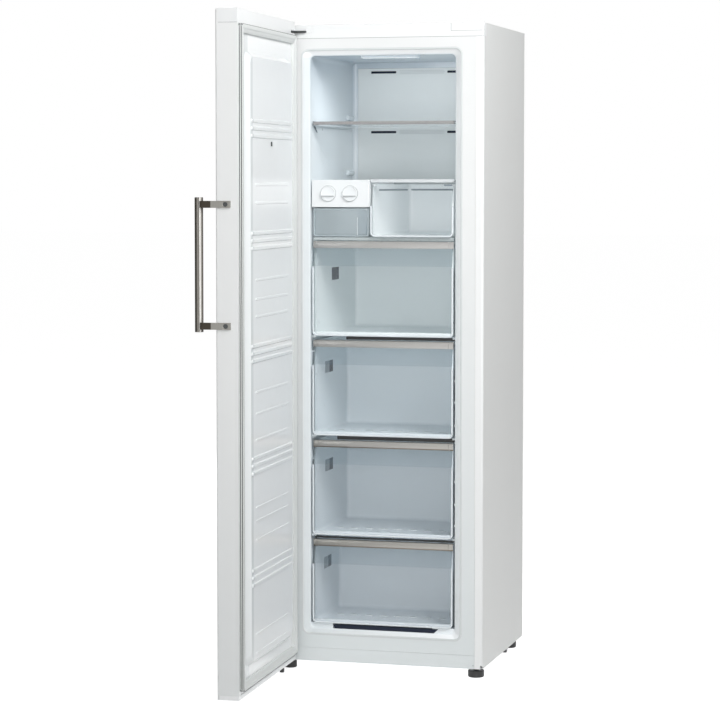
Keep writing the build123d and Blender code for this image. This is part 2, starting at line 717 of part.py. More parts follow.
def compressor():
    """A domed hermetic shell welded to a foot plate, hollow inside."""
    x, depth = COMPRESSOR_AT
    shell = along_z(Pos(x, depth) * Ellipse(88, 68), (52, 205))
    shell = fillet(shell.edges().sort_by(Axis.Z)[-1:] + shell.edges().sort_by(Axis.Z)[:1], 28)
    inside = along_z(Pos(x, depth) * Ellipse(80, 60), (60, 197))
    inside = fillet(inside.edges().sort_by(Axis.Z)[-1:] + inside.edges().sort_by(Axis.Z)[:1], 22)
    plate = block((x - 98, x + 98), (depth - 66, depth + 66), (50, 53))
    for dx, dy in MOUNT_OFFSETS:
        plate -= rod_z(x + dx, depth + dy, (49, 54), 5)
    relay = block((x - 104, x - 80), (depth - 25, depth + 25), (95, 150))
    return shell + plate + relay - inside


def compressor_mounts():
    """Four rubber bushes between the compressor and its tray, each with a neck through the foot plate."""
    x, depth = COMPRESSOR_AT
    bushes = []
    for dx, dy in MOUNT_OFFSETS:
        bush = rod_z(x + dx, depth + dy, (33.5, 50), 11)
        bush += rod_z(x + dx, depth + dy, (49, 54), 4.8)
        bushes.append(bush + rod_z(x + dx, depth + dy, (53.1, 57), 8))
    return Compound(bushes)


def drip_tray():
    """The pan over the compressor in which defrost water evaporates."""
    x, depth = COMPRESSOR_AT
    tray = block((x - 85, x + 85), (depth - 60, depth + 60), (206, 240))
    return tray - block((x - 82.5, x + 82.5), (depth - 57.5, depth + 57.5), (208.5, 241))


def pipe(points, bend, radius):
    """A round tube along straight runs joined by bends."""
    path = FilletPolyline(*points, radius=bend)
    section = Plane(origin=path @ 0, z_dir=path % 0) * Circle(radius)
    return sweep(section, path=path)


def refrigerant_pipes():
    """The suction and the discharge pipe, from the compressor to the bay's front wall."""
    x, depth = COMPRESSOR_AT
    wall = FRONT + BAY_FRONT + 1
    pipes = []
    for i, z in enumerate((100, 140)):
        start = x + 88.3
        reach = 190 + 25 * i
        y = FRONT + depth - 10 + 20 * i
        route = [(start, y, z), (reach, y, z), (reach, y, 250 + 30 * i), (reach, wall, 250 + 30 * i)]
        pipes.append(pipe(route, 18, 4))
    return Compound(pipes)


def cord_gland():
    """The gland on the compressor tray's rear upstand, where a mains lead enters."""
    gland = rod_y(-200, 75, (CABINET_DEPTH - 22, CABINET_DEPTH - 1), 12)
    gland += block((-220, -180), (CABINET_DEPTH - 14, CABINET_DEPTH - 6), (52, 98))
    return gland - rod_y(-200, 75, (CABINET_DEPTH - 30, CABINET_DEPTH + 1), 4)


# ---------------------------------------------------------------- hinges

HINGE_HALF = 14
HINGE_PLATE_EDGE = -222
HINGE_PLATE_TOP = 1839


def hinge_plan(back):
    """A strap from a round nose at the pivot to a square end at the cabinet."""
    x, depth = PIVOT
    return rectangle((x - HINGE_HALF, x + HINGE_HALF), (depth, back)) + Pos(x, depth) * Circle(HINGE_HALF)


def hinge_plate_top():
    """The upper hinge: a plate that widens under the left cover, with a pin down into the door."""
    wide = rectangle((PIVOT[0] - HINGE_HALF, HINGE_PLATE_EDGE), (-10, 70))
    plate = along_z(hinge_plan(70) + wide, (1833.4, HINGE_PLATE_TOP))
    return plate + rod_z(*PIVOT, (1802, 1834), PIN_RADIUS)


def hinge_bracket_bottom():
    """The lower hinge: a plate under the cabinet with a pin up into the door and a stub below it."""
    x, depth = PIVOT
    plate = along_z(hinge_plan(75), (25.5, 29.8))
    foot_x, foot_depth, _ = FRONT_FEET["left"]
    plate += block((foot_x - 10, foot_x + 30), (foot_depth - 20, 75), (25.5, 29.8))
    plate -= rod_z(foot_x, foot_depth, (20, 31), STEM_RADIUS + RUNNING_FIT)
    plate += rod_z(x, depth, (29, 64), PIN_RADIUS) + rod_z(x, depth, (29, DOOR_Z[0] - GAP), 8)
    return plate + rod_z(-282, -48, (1, 26), 7)


# ---------------------------------------------------------------- door, modelled shut


def swung(shape):
    """Turn a piece of the door about the hinge from shut to the photographed opening."""
    pivot = Pos(PIVOT[0], FRONT + PIVOT[1], 0)
    return pivot * Rot(0, 0, -DOOR_OPEN_DEG) * pivot.inverse() * shape


def door_top_corner(inset):
    """What is cut off the door's upper front edge to round it."""
    radius = DOOR_TOP_RADIUS - inset
    middle = (DOOR_OUTER + DOOR_TOP_RADIUS, DOOR_Z[1] - DOOR_TOP_RADIUS)
    corner = rectangle((DOOR_OUTER - 1, middle[0]), (middle[1], DOOR_Z[1] + 1))
    return along_x(corner - Pos(*middle) * Circle(radius), (-HALF_WIDTH - 1, HALF_WIDTH + 1))


def door_outer_panel():
    """The painted steel skin: the front, both edges and narrow lips inside."""
    outline = rectangle((-HALF_WIDTH, HALF_WIDTH), (DOOR_OUTER, DOOR_INNER + 10), 4)
    outline &= rectangle((-HALF_WIDTH, HALF_WIDTH), (DOOR_OUTER, DOOR_INNER))
    inside = rectangle(
        (SHEET - HALF_WIDTH, HALF_WIDTH - SHEET), (DOOR_OUTER + SHEET, DOOR_INNER + 10), 4 - SHEET
    ) & rectangle((-HALF_WIDTH, HALF_WIDTH), (DOOR_OUTER, DOOR_INNER - SHEET))
    mouth = rectangle((-286, 286), (DOOR_INNER - 3, DOOR_INNER + 1))
    skin = along_z(outline - inside - mouth, DOOR_Z)
    for z_span in ((DOOR_Z[0] - 1, DOOR_CAP_Z[0]), (DOOR_CAP_Z[1], DOOR_Z[1] + 1)):
        skin -= block((-HALF_WIDTH - 1, HALF_WIDTH + 1), (DOOR_WRAP, DOOR_INNER + 1), z_span)
    for z in BRACKET_Z:
        skin -= rod_x(-45, z, (HALF_WIDTH - 3, HALF_WIDTH + 1), 3.3)
    return skin - door_top_corner(0)


def door_cap(z_span, tongue_z):
    """A plastic end cap with a tongue inside the folded front skin."""
    cap = block((-HALF_WIDTH, HALF_WIDTH), (DOOR_WRAP + 0.1, DOOR_INNER), z_span)
    half = HALF_WIDTH - SHEET - 3.4
    return cap + block((-half, half), (DOOR_OUTER + SHEET + 0.1, DOOR_WRAP + 1), tongue_z)


def door_top_cap():
    """The upper cap, slotted for the hinge plate and bored for its pin."""
    low, high = DOOR_CAP_Z[1] + 0.1, DOOR_Z[1]
    cap = door_cap((low, high), (low, high - 0.3))
    cap -= block((-230, HALF_WIDTH - 3), (-68, DOOR_INNER - 3), (low - 1, high - 2.5))
    cap -= block((-HALF_WIDTH - 1, -256), (-67, DOOR_INNER + 1), (1831, 1840))
    cap -= door_top_corner(SHEET + 0.1)
    cap += rod_z(*PIVOT, (1796, 1826), 11)
    return cap - rod_z(*PIVOT, (1799, 1832), PIN_RADIUS + RUNNING_FIT)


def door_bottom_cap():
    """The lower cap, with the bush that the lower pin turns in."""
    low, high = DOOR_Z[0], DOOR_CAP_Z[0] - 0.1
    cap = door_cap((low, high), (low + 0.3, high))
    cap += rod_z(*PIVOT, (45, 72), 11)
    return cap - rod_z(*PIVOT, (33, 67), PIN_RADIUS + RUNNING_FIT)


PLUG_HALF = 232
PLUG_Z = (108, 1757)
PLUG_SLOPE = 15


def plug(shrink, depths):
    """The raised field of the door liner, or the hollow behind it."""
    z_span = (PLUG_Z[0] + shrink, PLUG_Z[1] - shrink)
    return tapered(PLUG_HALF - shrink, z_span, 24, depths, PLUG_SLOPE)


def ridge(z, half_length, width, height):
    """One moulded bar across the door liner, with rounded ends and leaning sides."""
    face = Plane(origin=(0, FRONT + PLUG_TOP - 0.1, z), x_dir=(1, 0, 0), z_dir=(0, 1, 0))
    outline = RectangleRounded(2 * half_length, width, width / 2 - 0.2)
    return extrude(face * outline, amount=height + 0.1, taper=25)


def door_liner():
    """The moulded inside of the door: a flange, a raised field and its horizontal bars."""
    flange_z = (DOOR_CAP_Z[0] + 0.2, DOOR_CAP_Z[1] - 0.2)
    flange = block((-294, 294), (DOOR_INNER - 3, DOOR_INNER - 1), flange_z)
    base = DOOR_INNER - 3
    liner = flange + plug(0, (base, PLUG_TOP)) - plug(2.5, (base - 0.1, PLUG_TOP - 2.5))
    for centre in RIDGE_GROUPS:
        for offset in (-20, 0, 20):
            liner += ridge(centre + offset, 212, 11, 3.5)
    for z in SHALLOW_RIBS:
        liner += ridge(z, 168, 7, 1.5)
    return liner


def door_foam():
    """Insulation inside the door, with pockets for the hinge bosses and the handle screws."""
    half = HALF_WIDTH - 1.2
    foam_z = (DOOR_CAP_Z[0] + 0.5, DOOR_CAP_Z[1] - 0.5)
    foam = block((-half, half), (DOOR_OUTER + 5, DOOR_INNER - 3.2), foam_z)
    foam += plug(3, (DOOR_INNER - 8, PLUG_TOP - 3))
    foam -= rod_z(*PIVOT, (40, 75), 12)
    foam -= rod_z(*PIVOT, (1793, 1830), 12)
    for z in BRACKET_Z:
        foam -= rod_x(-45, z, (HALF_WIDTH - 25, HALF_WIDTH + 1), 4)
    return foam


def door_gasket():
    """The magnetic seal: a ring with two grooves round its outer side, like a bellows."""
    outer_half, outer_z = 283.5, (55, 1825)

    def ring(inset_out, inset_in, depths):
        profile = rectangle(
            (inset_out - outer_half, outer_half - inset_out),
            (outer_z[0] + inset_out, outer_z[1] - inset_out),
            8 - inset_out,
        )
        profile -= rectangle(
            (inset_in - outer_half, outer_half - inset_in), (outer_z[0] + inset_in, outer_z[1] - inset_in), 4
        )
        return along_y(profile, depths)

    seal = ring(0, 24, (DOOR_INNER - 1, -1))
    for depths in ((-11, -8.8), (-6, -3.8)):
        seal -= ring(-1, 3, depths)
    return seal


def door_clip():
    """A small square plug in the door liner."""
    return block((0, 12), (PLUG_TOP, PLUG_TOP + 3), (1507, 1519))


def handle_bar():
    bar = rod_z(*BAR_AT, BAR_Z, BAR_RADIUS)
    return chamfer(bar.edges().filter_by(GeomType.CIRCLE), 0.8)


def handle_brackets():
    """Two straps screwed to the door's edge that curve round to the bar."""
    face = HALF_WIDTH + 0.1
    thick = 4
    bend = face + thick - BAR_AT[0]
    bend_depth = BAR_AT[1] + bend
    centre = Pos(BAR_AT[0], bend_depth)
    turn = centre * (Circle(bend) - Circle(bend - thick))
    turn &= rectangle((BAR_AT[0], face + thick), (BAR_AT[1] - 1, bend_depth))
    plan = rectangle((face, face + thick), (bend_depth, DOOR_OUTER + 41)) + turn
    straps = []
    for z in BRACKET_Z:
        strap = along_z(plan, (z - BRACKET_HEIGHT / 2, z + BRACKET_HEIGHT / 2))
        strap -= rod_z(*BAR_AT, (z - 20, z + 20), BAR_RADIUS)
        strap -= rod_x(-45, z, (face + thick - 2.2, face + thick + 1), 6.5)
        strap -= rod_x(-45, z, (face - 1, face + thick + 1), 3.3)
        straps.append(strap)
    return Compound(straps)


def handle_screws():
    """The two socket screws that hold the handle."""
    seat = HALF_WIDTH + 0.1 + 4 - 2.2
    screws = []
    for z in BRACKET_Z:
        screw = rod_x(-45, z, (seat, seat + 1.8), 6) + rod_x(-45, z, (HALF_WIDTH - 20, seat + 0.5), 3)
        socket = along_x(Pos(-45, z) * RegularPolygon(2.6, 6), (seat + 0.6, seat + 3))
        screws.append(screw - socket)
    return Compound(screws)


# ---------------------------------------------------------------- write every piece

save("side_panel_right", side_panel())
save("side_panel_left", mirrored(side_panel()))
save("top_panel", top_panel())
save("hinge_covers", hinge_covers())
save("front_frame", front_frame())
save("inner_liner", inner_liner())
save("cabinet_foam", cabinet_foam())
save("base_plate", base_plate())
save("plinth", plinth())
save("back_panel", back_panel())
save("air_duct_panel", air_duct_panel())
save("evaporator_hood", evaporator_hood())
save("evaporator", evaporator())
save("fan_motor", fan_motor())
save("fan_blade", fan_blade())
save("lamp_cover", lamp_cover())
save("shelf_retainers", shelf_retainers())

for name in SHELF_TOPS:
    save(f"glass_shelf_{name}", glass_shelf(name))
save("shelf_trims", Compound([shelf_trim(name, (-207, 207)) for name in ("upper", "lower")]))
save("shelf_trim_middle", shelf_trim("middle", (ICE_X[1] + 2, 207)))

save("ice_maker_housing", ice_maker_housing())
for side, axis_x in ICE_AXIS_X.items():
    save(f"ice_knob_{side}", ice_knob(axis_x))
    save(f"ice_tray_{side}", ice_tray(axis_x))
save("ice_bin", ice_bin())
save("small_drawer", small_drawer())
for number, ((bottom, top, crease, back), slot_at) in enumerate(zip(DRAWERS, DRAWER_SLOTS), start=1):
    save(f"drawer_{number}", drawer(bottom, top, crease, back, slot_at))
    save(f"drawer_strip_{number}", drawer_strip(top))

for side, (x, depth, radius) in FRONT_FEET.items():
    save(f"front_foot_{side}", foot(x, depth, radius, 78))
save("rear_feet", Compound([foot(x, depth, REAR_FOOT_RADIUS, 40) for x, depth in REAR_FEET]))
save("roller_left", roller(-1))
save("roller_right", roller(1))
save("compressor_plate", compressor_plate())
save("compressor", compressor())
save("compressor_mounts", compressor_mounts())
save("drip_tray", drip_tray())
save("refrigerant_pipes", refrigerant_pipes())
save("cord_gland", cord_gland())
save("hinge_plate_top", hinge_plate_top())
save("hinge_bracket_bottom", hinge_bracket_bottom())

save("door_outer_panel", swung(door_outer_panel()))
save("door_top_cap", swung(door_top_cap()))
save("door_bottom_cap", swung(door_bottom_cap()))
save("door_liner", swung(door_liner()))
save("door_foam", swung(door_foam()))
save("door_gasket", swung(door_gasket()))
save("door_clip", swung(door_clip()))
save("handle_bar", swung(handle_bar()))
save("handle_brackets", swung(handle_brackets()))
save("handle_screws", swung(handle_screws()))
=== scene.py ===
import math
import bmesh
import bpy
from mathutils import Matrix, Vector


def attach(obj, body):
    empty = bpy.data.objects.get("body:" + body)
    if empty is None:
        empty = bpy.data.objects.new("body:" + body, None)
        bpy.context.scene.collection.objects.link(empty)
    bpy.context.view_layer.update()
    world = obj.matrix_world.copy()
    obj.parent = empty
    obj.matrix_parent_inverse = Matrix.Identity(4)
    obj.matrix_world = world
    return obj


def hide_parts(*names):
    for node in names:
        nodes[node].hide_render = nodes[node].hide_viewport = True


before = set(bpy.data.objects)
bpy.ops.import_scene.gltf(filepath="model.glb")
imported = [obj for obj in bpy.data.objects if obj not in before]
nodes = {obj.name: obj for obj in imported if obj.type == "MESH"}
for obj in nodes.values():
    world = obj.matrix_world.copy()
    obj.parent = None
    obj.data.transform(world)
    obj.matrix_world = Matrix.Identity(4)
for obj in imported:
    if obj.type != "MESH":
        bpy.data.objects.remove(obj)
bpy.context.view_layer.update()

# The scene is in metres. Pieces are given in millimetres, and their depths are measured backwards
# from the front of the cabinet, which lies at this Y in metres.
FRONT_Y = -0.277
MM = 0.001


# ---------------------------------------------------------------- materials


class Surface:
    """A procedural material: a Principled shader with small helpers for its node tree."""

    def __init__(self, name):
        self.material = bpy.data.materials.new(name)
        self.material.use_nodes = True
        self.tree = self.material.node_tree
        self.shader = self.tree.nodes["Principled BSDF"]
        self.place = self.node("ShaderNodeTexCoord").outputs["Object"]

    def node(self, kind, **settings):
        made = self.tree.nodes.new(kind)
        for key, value in settings.items():
            setattr(made, key, value)
        return made

    def link(self, source, target):
        self.tree.links.new(source, target)

    def set(self, **values):
        """Constants on the shader's own sockets, by name, with _ for each space."""
        for key, value in values.items():
            self.shader.inputs[key.replace("_", " ")].default_value = value

    def noise(self, scale, detail, stretch=(1, 1, 1)):
        """Noise in the object's own metres, stretched along its axes."""
        mapping = self.node("ShaderNodeMapping")
        mapping.inputs["Scale"].default_value = stretch
        self.link(self.place, mapping.inputs["Vector"])
        made = self.node("ShaderNodeTexNoise")
        made.inputs["Scale"].default_value = scale
        made.inputs["Detail"].default_value = detail
        self.link(mapping.outputs["Vector"], made.inputs["Vector"])
        return made.outputs["Fac"]

    def between(self, factor, low, high, start=0.0, end=1.0):
        """A value from low to high as factor goes from start to end."""
        made = self.node("ShaderNodeMapRange")
        made.inputs["From Min"].default_value = start
        made.inputs["From Max"].default_value = end
        made.inputs["To Min"].default_value = low
        made.inputs["To Max"].default_value = high
        self.link(factor, made.inputs["Value"])
        return made.outputs["Result"]

    def mix(self, factor, first, second):
        """A colour between two colours or sockets."""
        made = self.node("ShaderNodeMix", data_type="RGBA")
        self.link(factor, made.inputs["Factor"])
        for socket, value in ((made.inputs[6], first), (made.inputs[7], second)):
            if isinstance(value, tuple):
                socket.default_value = (*value, 1)
            else:
                self.link(value, socket)
        return made.outputs[2]

    def along(self, axis, start, end):
        """0 to 1 as one coordinate goes from start to end, in millimetres; along Y these are depths."""
        split = self.node("ShaderNodeSeparateXYZ")
        self.link(self.place, split.inputs["Vector"])
        offset = FRONT_Y if axis == "Y" else 0.0
        return self.between(split.outputs[axis], 0.0, 1.0, offset + start * MM, offset + end * MM)

    def bump(self, height, distance):
        """Relief as deep as a distance in metres."""
        made = self.node("ShaderNodeBump")
        made.inputs["Distance"].default_value = distance
        self.link(height, made.inputs["Height"])
        self.link(made.outputs["Normal"], self.shader.inputs["Normal"])

    def ramp(self, factor, stops, tint):
        """A colour that goes through evenly spaced stops as factor goes from 0 to 1."""
        made = self.node("ShaderNodeValToRGB")
        elements = made.color_ramp.elements
        elements.remove(elements[1])
        for i, colour in enumerate(stops):
            position = i / (len(stops) - 1)
            element = elements.new(position) if i else elements[0]
            element.position = position
            element.color = (*tinted(colour, tint), 1)
        self.link(factor, made.inputs["Fac"])
        return made.outputs["Color"]

    def toned(self, factor, colour, spread, fade):
        """Colour with slight changes of tone; fade is None, or an axis, start, end and the colour there."""
        low, high = tinted(colour, 1 - spread), tinted(colour, 1 + spread)
        if fade:
            axis, start, end, other = fade
            share = self.along(axis, start, end)
            low = self.mix(share, low, tinted(other, 1 - spread))
            high = self.mix(share, high, tinted(other, 1 + spread))
        self.colour(self.mix(factor, low, high))

    def colour(self, socket):
        self.link(socket, self.shader.inputs["Base Color"])

    def roughness(self, factor, middle, spread):
        """Roughness that varies by a share of itself as factor goes from 0 to 1."""
        varied = self.between(factor, middle * (1 - spread), middle * (1 + spread))
        self.link(varied, self.shader.inputs["Roughness"])


def tinted(colour, factor):
    return tuple(min(1.0, c * factor) for c in colour)


# How fine the blotches of tone and of gloss on paint and plastic are, and the detail in each
BLOTCHES = (9, 4)
GLOSS_BLOTCHES = (54, 3)


def moulded(name, colour, rough, spread, grain=900, depth=0.00003, fade=None, **sockets):
    """Paint or plastic: slight blotches of tone and gloss over a fine grain."""
    surface = Surface(name)
    surface.set(Base_Color=(*colour, 1), **sockets)
    surface.toned(surface.noise(*BLOTCHES), colour, spread, fade)
    surface.roughness(surface.noise(*GLOSS_BLOTCHES), rough, 0.15)
    surface.bump(surface.noise(grain, 2), depth)
    return surface.material


def liner_surface(left, right, top, inside, ceiling, rough):
    """The liner's plastic: a tone each for its mouth's left, right and top, its lower inside and ceiling;
    the darker left, the lighter right and top and the darker ceiling are painted light and shade.
    """
    surface = Surface("liner_plastic")
    surface.set(Base_Color=(*inside, 1))
    tones = (left, right, top, inside, ceiling)
    shades = []
    for tint in (0.985, 1.015):
        left, right, top, inside, ceiling = (tinted(tone, tint) for tone in tones)
        mouth = surface.mix(surface.along("X", -200, 200), left, right)
        mouth = surface.mix(surface.along("Z", 1762, 1770), mouth, top)
        within = surface.mix(surface.along("Z", 1540, 1766), inside, ceiling)
        shades.append(surface.mix(surface.along("Y", 10, 18), mouth, within))
    surface.colour(surface.mix(surface.noise(*BLOTCHES), *shades))
    surface.roughness(surface.noise(*GLOSS_BLOTCHES), rough, 0.15)
    surface.bump(surface.noise(300, 2), 0.00002)
    return surface.material


def brushed(name, colour, rough, direction, spread=0.12, metal=1.0, fade=None, stops=None):
    """Metal with fine streaks along one axis; stops are painted reflections across a bar, along X."""
    surface = Surface(name)
    surface.set(Base_Color=(*colour, 1), Metallic=metal, Specular_IOR_Level=0.5 * metal)
    stretch = tuple(0.01 if axis == direction else 1 for axis in "XYZ")
    streaks = surface.noise(2600, 3, stretch)
    if stops:
        across = surface.along("X", *BAR_X)
        shades = [surface.ramp(across, stops, tint) for tint in (1 - spread, 1 + spread)]
        surface.colour(surface.mix(streaks, *shades))
    else:
        surface.toned(streaks, colour, spread, fade)
    surface.roughness(streaks, rough, 0.2)
    surface.bump(streaks, 0.00002)
    return surface.material


def clear(name, colour, opacity, rough, spread=0.04, glow=0.0, gloss=0.5, fade=None):
    """Thin translucent plastic or glass; glow is painted light, an even glow for the light that it scatters
    from the room behind it.
    """
    surface = Surface(name)
    surface.set(Base_Color=(*colour, 1), Alpha=opacity, Specular_IOR_Level=gloss)
    surface.set(Emission_Color=(0.85, 0.95, 1.0, 1), Emission_Strength=glow)
    surface.toned(surface.noise(14, 4), colour, spread, fade)
    surface.roughness(surface.noise(60, 2), rough, 0.2)
    surface.bump(surface.noise(35, 1), 0.00002)
    return surface.material


# Where the open door holds the handle's bar, along X, and the painted reflections across the bar from left
# to right
BAR_X = (-340.7, -324.2)
BAR_REFLECTIONS = (
    (0.065, 0.060, 0.050), (0.100, 0.093, 0.080), (0.270, 0.255, 0.230), (0.330, 0.315, 0.290),
    (0.090, 0.083, 0.072), (1.000, 0.970, 0.920), (0.420, 0.400, 0.370), (0.120, 0.110, 0.098),
)
WHITE = (0.86, 0.872, 0.87)
# The liner ceiling's darker tone, painted shade; the lamp cover's top takes it too.
CEILING_SHADE = (0.60, 0.67, 0.725)
# The door's outer paint is darker towards the bottom: painted shade.
paint = moulded("white_paint", WHITE, 0.32, 0.012, grain=650, fade=("Z", 1000, 100, (0.77, 0.79, 0.79)))
# The frame and plinth take a darker copy of the white paint, darker still towards the bottom: painted shade.
frame_paint = moulded(
    "frame_paint", (0.80, 0.812, 0.81), 0.32, 0.012, grain=650, fade=("Z", 1300, 100, (0.735, 0.775, 0.78))
)
# The side panels are darker behind their white front returns: painted shade. The back panel has the darker
# tone all over.
side_paint = moulded(
    "side_paint", WHITE, 0.38, 0.012, grain=650, depth=0.00004, fade=("Y", 2, 9, (0.76, 0.775, 0.765))
)
white_plastic = moulded("white_plastic", (0.86, 0.875, 0.878), 0.3, 0.012)
# The ice maker takes a darker copy of the white plastic: painted shade.
ice_plastic = moulded("ice_maker_plastic", (0.80, 0.825, 0.835), 0.3, 0.012)
# Painted shade at the mouth's left and the ceiling, painted light at the mouth's right and top.
liner_plastic = liner_surface(
    left=(0.71, 0.75, 0.765),
    right=(0.95, 0.975, 0.985),
    top=(0.97, 0.99, 1.0),
    inside=(0.87, 0.92, 0.95),
    ceiling=CEILING_SHADE,
    rough=0.22,
)
# The door liner is darker in the band by its free edge, from 508 mm in front of the cabinet outwards:
# painted shade.
door_plastic = moulded(
    "door_plastic", (0.76, 0.785, 0.79), 0.22, 0.012, grain=200, depth=0.00002,
    fade=("Y", -508, -501, (0.90, 0.915, 0.92)),
)
duct_plastic = moulded("duct_plastic", (0.85, 0.885, 0.88), 0.4, 0.015)
# The air duct's dimples are grey: painted shade.
dimple_shade = moulded("dimple_shade", (0.62, 0.65, 0.66), 0.5, 0.03)
# The lamp cover's top takes the ceiling's painted shade.
lamp_plastic = moulded(
    "lamp_plastic", (0.95, 0.97, 1.0), 0.3, 0.01, fade=("Z", 1763.4, 1764.4, CEILING_SHADE),
    Emission_Color=(0.93, 0.97, 1, 1), Emission_Strength=0.2,
)
trim_plastic = moulded(
    "shelf_trim_plastic", (0.45, 0.50, 0.51), 0.28, 0.03, fade=("Z", 1500, 1560, (0.30, 0.295, 0.295))
)
middle_trim = moulded("middle_trim_plastic", (0.65, 0.685, 0.70), 0.3, 0.012)
# Grey for the shelf screw, and painted shade for the gap round each ice knob and under each grip.
grey_and_shade = moulded("grey_and_shade", (0.42, 0.44, 0.45), 0.4, 0.04)
seam_shade = moulded("seam_shade", (0.36, 0.37, 0.37), 0.6, 0.04)
seal = moulded("seal_rubber", (0.70, 0.72, 0.71), 0.55, 0.03, grain=1200)
# Painted shade for the grooves in the door's seal.
seal_groove_shade = moulded("seal_groove_shade", (0.16, 0.165, 0.165), 0.7, 0.1)
black_plastic = moulded("black_plastic", (0.018, 0.018, 0.019), 0.42, 0.2)
black_paint = moulded("black_paint", (0.02, 0.02, 0.021), 0.35, 0.15)
rubber = moulded("black_rubber", (0.022, 0.022, 0.022), 0.7, 0.2)
insulation = moulded(
    "insulation_foam", (0.80, 0.72, 0.42), 0.85, 0.06, grain=500, depth=0.0006,
    fade=("Z", 346, 342, (0.52, 0.54, 0.55)),
)
# The large drawers' plastic is darker towards the lowest drawer: painted shade.
drawer_plastic = clear(
    "drawer_plastic", (0.80, 0.865, 0.91), 0.94, 0.3, 0.012, fade=("Z", 140, 960, (0.88, 0.955, 1.0))
)
# A lighter copy with a glow, for the top drawer: painted light.
upper_lit_plastic = clear("upper_drawer_lit_plastic", (0.92, 0.985, 1.0), 0.95, 0.3, 0.012, glow=0.025)
front_plastic = clear("drawer_front_plastic", (0.82, 0.90, 0.96), 0.05, 0.08, gloss=0.2)
# The fronts' leaning part above the crease is darker: painted shade for the shadow under the strip.
lean_shaded_plastic = clear("drawer_lean_shaded_plastic", (0.36, 0.46, 0.53), 0.12, 0.08, gloss=0.35)
# Pale and nearly opaque: a painted highlight on the drawers' beads, the floor pads and the ice bin's ribs.
highlight_plastic = clear("drawer_highlight_plastic", (0.86, 0.91, 0.94), 0.75, 0.1)
# The small drawer's plastic is a lighter copy with a glow: painted light.
small_plastic = clear("small_drawer_plastic", (0.96, 0.995, 1.0), 0.93, 0.3, 0.015, glow=0.05)
catch_shade = moulded("catch_shade", (0.27, 0.31, 0.34), 0.5, 0.1)
# Near-black painted shade, set where slots and recesses look into dark gaps.
deep_shade = moulded("deep_shade", (0.012, 0.018, 0.035), 0.5, 0.15, Specular_IOR_Level=0.2)
blue_shade = moulded("blue_shade", (0.20, 0.24, 0.27), 0.5, 0.05)
clip_plastic = moulded(
    "clip_plastic", (0.05, 0.052, 0.055), 0.4, 0.04, fade=("Y", -317.6, -315.6, (0.66, 0.68, 0.68))
)
# Painted shade for the step round the liner's mouth, lighter along its left side.
lip_plastic = moulded(
    "lip_plastic", (0.74, 0.765, 0.77), 0.4, 0.02, fade=("X", -226, -205, (0.66, 0.69, 0.69))
)
clear_plastic = clear("clear_plastic", (0.66, 0.75, 0.79), 0.34, 0.1)
facet_plastic = clear("facet_plastic", (0.33, 0.40, 0.45), 0.5, 0.1)
shelf_glass = clear("shelf_glass", (0.70, 0.80, 0.85), 0.28, 0.04)
# The strips are darker towards the lowest drawer: painted shade.
strip_metal = brushed(
    "strip_metal", (0.31, 0.30, 0.28), 0.3, "X", fade=("Z", 360, 1240, (0.415, 0.41, 0.40))
)
strip_shade = brushed("strip_shade", (0.15, 0.125, 0.10), 0.35, "X")
# The handle bar's reflections are painted into its colour.
bar_steel = brushed("bar_steel", (0.3, 0.29, 0.27), 0.55, "Z", spread=0.06, metal=0.12, stops=BAR_REFLECTIONS)
bracket_steel = brushed(
    "bracket_steel", (0.055, 0.048, 0.038), 0.35, "Z", 0.08, fade=("X", -299, -298, (0.26, 0.255, 0.235))
)
dark_steel = brushed("dark_steel", (0.08, 0.085, 0.085), 0.4, "X")
bare_steel = brushed("bare_steel", (0.55, 0.56, 0.57), 0.38, "X")
fins = brushed("fin_aluminium", (0.75, 0.76, 0.77), 0.35, "Z")
copper = brushed("copper_pipe", (0.72, 0.38, 0.24), 0.35, "Y")

# Each material with the CAD nodes that it goes on
MATERIALS = {
    paint: "door_outer_panel",
    frame_paint: "front_frame plinth",
    side_paint: "side_panel_left side_panel_right back_panel",
    middle_trim: "shelf_trim_middle",
    white_plastic: "top_panel hinge_covers ice_tray_left ice_tray_right door_top_cap"
    " door_bottom_cap fan_blade",
    clip_plastic: "door_clip",
    ice_plastic: "ice_maker_housing ice_knob_left ice_knob_right",
    liner_plastic: "inner_liner shelf_retainers",
    door_plastic: "door_liner",
    duct_plastic: "air_duct_panel evaporator_hood",
    lamp_plastic: "lamp_cover",
    trim_plastic: "shelf_trims",
    seal: "door_gasket",
    black_plastic: "fan_motor drip_tray cord_gland front_foot_left front_foot_right rear_feet"
    " roller_left roller_right",
    black_paint: "hinge_bracket_bottom compressor",
    rubber: "compressor_mounts",
    insulation: "cabinet_foam door_foam",
    drawer_plastic: "drawer_1 drawer_2 drawer_3 drawer_4",
    clear_plastic: "ice_bin small_drawer",
    shelf_glass: "glass_shelf_upper glass_shelf_middle glass_shelf_lower",
    strip_metal: "drawer_strip_1 drawer_strip_2 drawer_strip_3 drawer_strip_4",
    bar_steel: "handle_bar",
    bracket_steel: "handle_brackets",
    dark_steel: "handle_screws hinge_plate_top",
    bare_steel: "base_plate compressor_plate",
    fins: "evaporator",
    copper: "refrigerant_pipes",
}


def dress(name, material):
    """Give a CAD node its material."""
    slots = nodes[name].data.materials
    slots.clear()
    slots.append(material)


for material, names in MATERIALS.items():
    for name in names.split():
        dress(name, material)


# ---------------------------------------------------------------- building mesh pieces

# The door's pins, as x and depth, and how far the door stands open
PIVOT = (-275.5, -37.0)
DOOR_OPEN = math.radians(87.5)
# Edges that turn by more than this are sharp
SHARP = math.radians(35)


def spot(x, depth, z):
    """A point in metres from millimetres: x, depth behind the cabinet's front, z."""
    return Vector((x * MM, FRONT_Y + depth * MM, z * MM))


